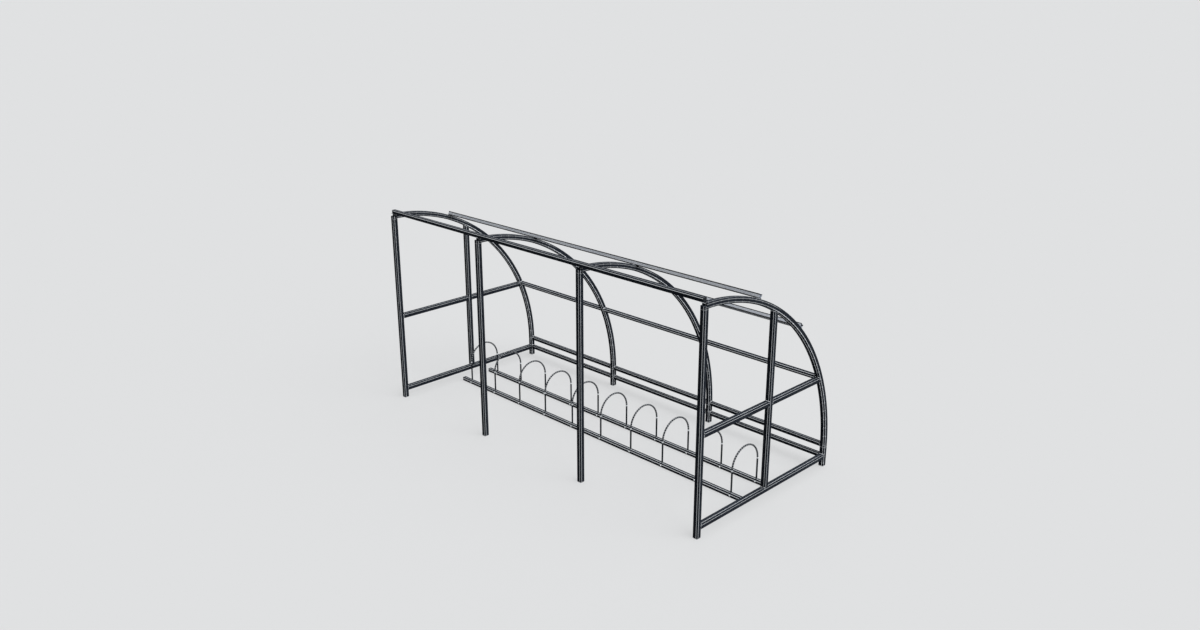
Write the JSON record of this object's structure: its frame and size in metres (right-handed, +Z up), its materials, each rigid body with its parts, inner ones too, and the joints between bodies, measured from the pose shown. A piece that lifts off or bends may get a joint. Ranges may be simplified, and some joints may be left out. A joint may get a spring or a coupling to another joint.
{
  "type": "bike shelter frame",
  "caption": "Open steel frame of a bike shelter: posts, quarter-circle arches, eaves beam, purlins and rails, with a free-standing rack of wheel hoops inside.",
  "frame": {"origin": "on the ground, in the middle of the shelter's length and depth", "axes": "+X along the row of frames, +Y from the open front to the back, +Z up"},
  "size_m": [4.07, 1.835, 2.03],
  "materials": {
    "frame_steel": "anthracite powder coat, satin",
    "purlin_metal": "light grey powder coat, satin",
    "rack_steel": "anthracite powder coat, satin"
  },
  "bodies": {
    "root": {"arch_1": "frame_steel", "arch_2": "frame_steel", "arch_3": "frame_steel", "arch_4": "frame_steel", "back_rail_low_1": "frame_steel", "back_rail_low_2": "frame_steel", "back_rail_low_3": "frame_steel", "back_rail_mid_1": "frame_steel", "back_rail_mid_2": "frame_steel", "back_rail_mid_3": "frame_steel", "back_rail_upper_1": "frame_steel", "back_rail_upper_2": "frame_steel", "back_rail_upper_3": "frame_steel", "eaves_beam": "frame_steel", "end_bottom_rail_left": "frame_steel", "end_bottom_rail_right": "frame_steel", "end_mid_post_left": "frame_steel", "end_mid_post_right": "frame_steel", "end_mid_rail_back_left": "frame_steel", "end_mid_rail_back_right": "frame_steel", "end_mid_rail_front_left": "frame_steel", "end_mid_rail_front_right": "frame_steel", "front_post_1": "frame_steel", "front_post_2": "frame_steel", "front_post_3": "frame_steel", "front_post_4": "frame_steel", "hoop_1": "rack_steel", "hoop_10": "rack_steel", "hoop_2": "rack_steel", "hoop_3": "rack_steel", "hoop_4": "rack_steel", "hoop_5": "rack_steel", "hoop_6": "rack_steel", "hoop_7": "rack_steel", "hoop_8": "rack_steel", "hoop_9": "rack_steel", "purlin_crown": "purlin_metal", "purlin_rear": "purlin_metal", "rack_rail_back": "rack_steel", "rack_rail_front": "rack_steel"}
  },
  "joints": []
}
